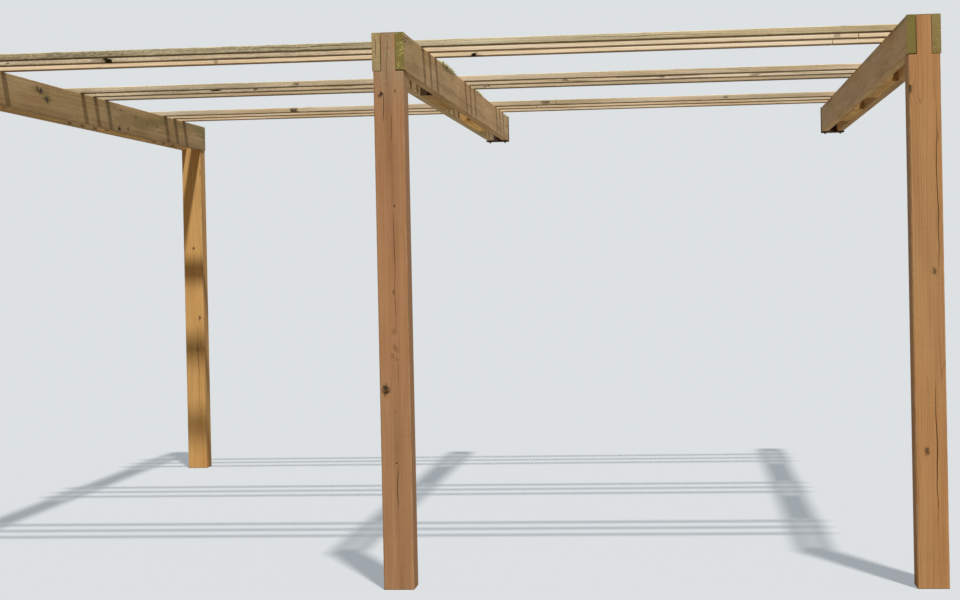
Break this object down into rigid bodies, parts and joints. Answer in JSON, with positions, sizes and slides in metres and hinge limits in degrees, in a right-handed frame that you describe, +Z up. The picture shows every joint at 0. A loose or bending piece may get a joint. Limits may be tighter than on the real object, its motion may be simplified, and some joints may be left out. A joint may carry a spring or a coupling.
{
  "type": "open timber pergola",
  "caption": "Open timber pergola: notched square posts carry pairs of beams that run back to a wall, with groups of flat battens laid across them.",
  "frame": {"origin": "on the ground, half-way between the outer pairs of beams and half-way between the front and back faces of the posts", "axes": "+X to the right along the battens, +Y from the front posts to the wall along the beams, +Z up"},
  "size_m": [5.37, 5.72, 2.775],
  "materials": {
    "post_timber": "sawn pine, oiled, warm brown",
    "beam_timber": "treated pine, weathered",
    "batten_timber": "treated pine, pale, weathered",
    "spacer_timber": "treated pine, unweathered",
    "bracket_steel": "mild steel, rusted dark"
  },
  "bodies": {
    "root": {"post_front_left": "post_timber", "post_front_middle": "post_timber", "post_front_right": "post_timber", "post_back_left": "post_timber", "beam_left_pair_left": "beam_timber", "beam_left_pair_right": "beam_timber", "beam_middle_pair_left": "beam_timber", "beam_middle_pair_right": "beam_timber", "beam_right_pair_left": "beam_timber", "beam_right_pair_right": "beam_timber", "batten_front_1": "batten_timber", "batten_front_2": "batten_timber", "batten_front_3": "batten_timber", "batten_middle_1": "batten_timber", "batten_middle_2": "batten_timber", "batten_middle_3": "batten_timber", "batten_back_1": "batten_timber", "batten_back_2": "batten_timber", "batten_back_3": "batten_timber", "spacer_left_pair_front": "spacer_timber", "spacer_left_pair_back": "spacer_timber", "spacer_middle_pair_front": "spacer_timber", "spacer_middle_pair_back": "spacer_timber", "spacer_right_pair_front": "spacer_timber", "spacer_right_pair_back": "spacer_timber", "wall_bracket_middle": "bracket_steel", "wall_bracket_right": "bracket_steel"}
  },
  "joints": []
}
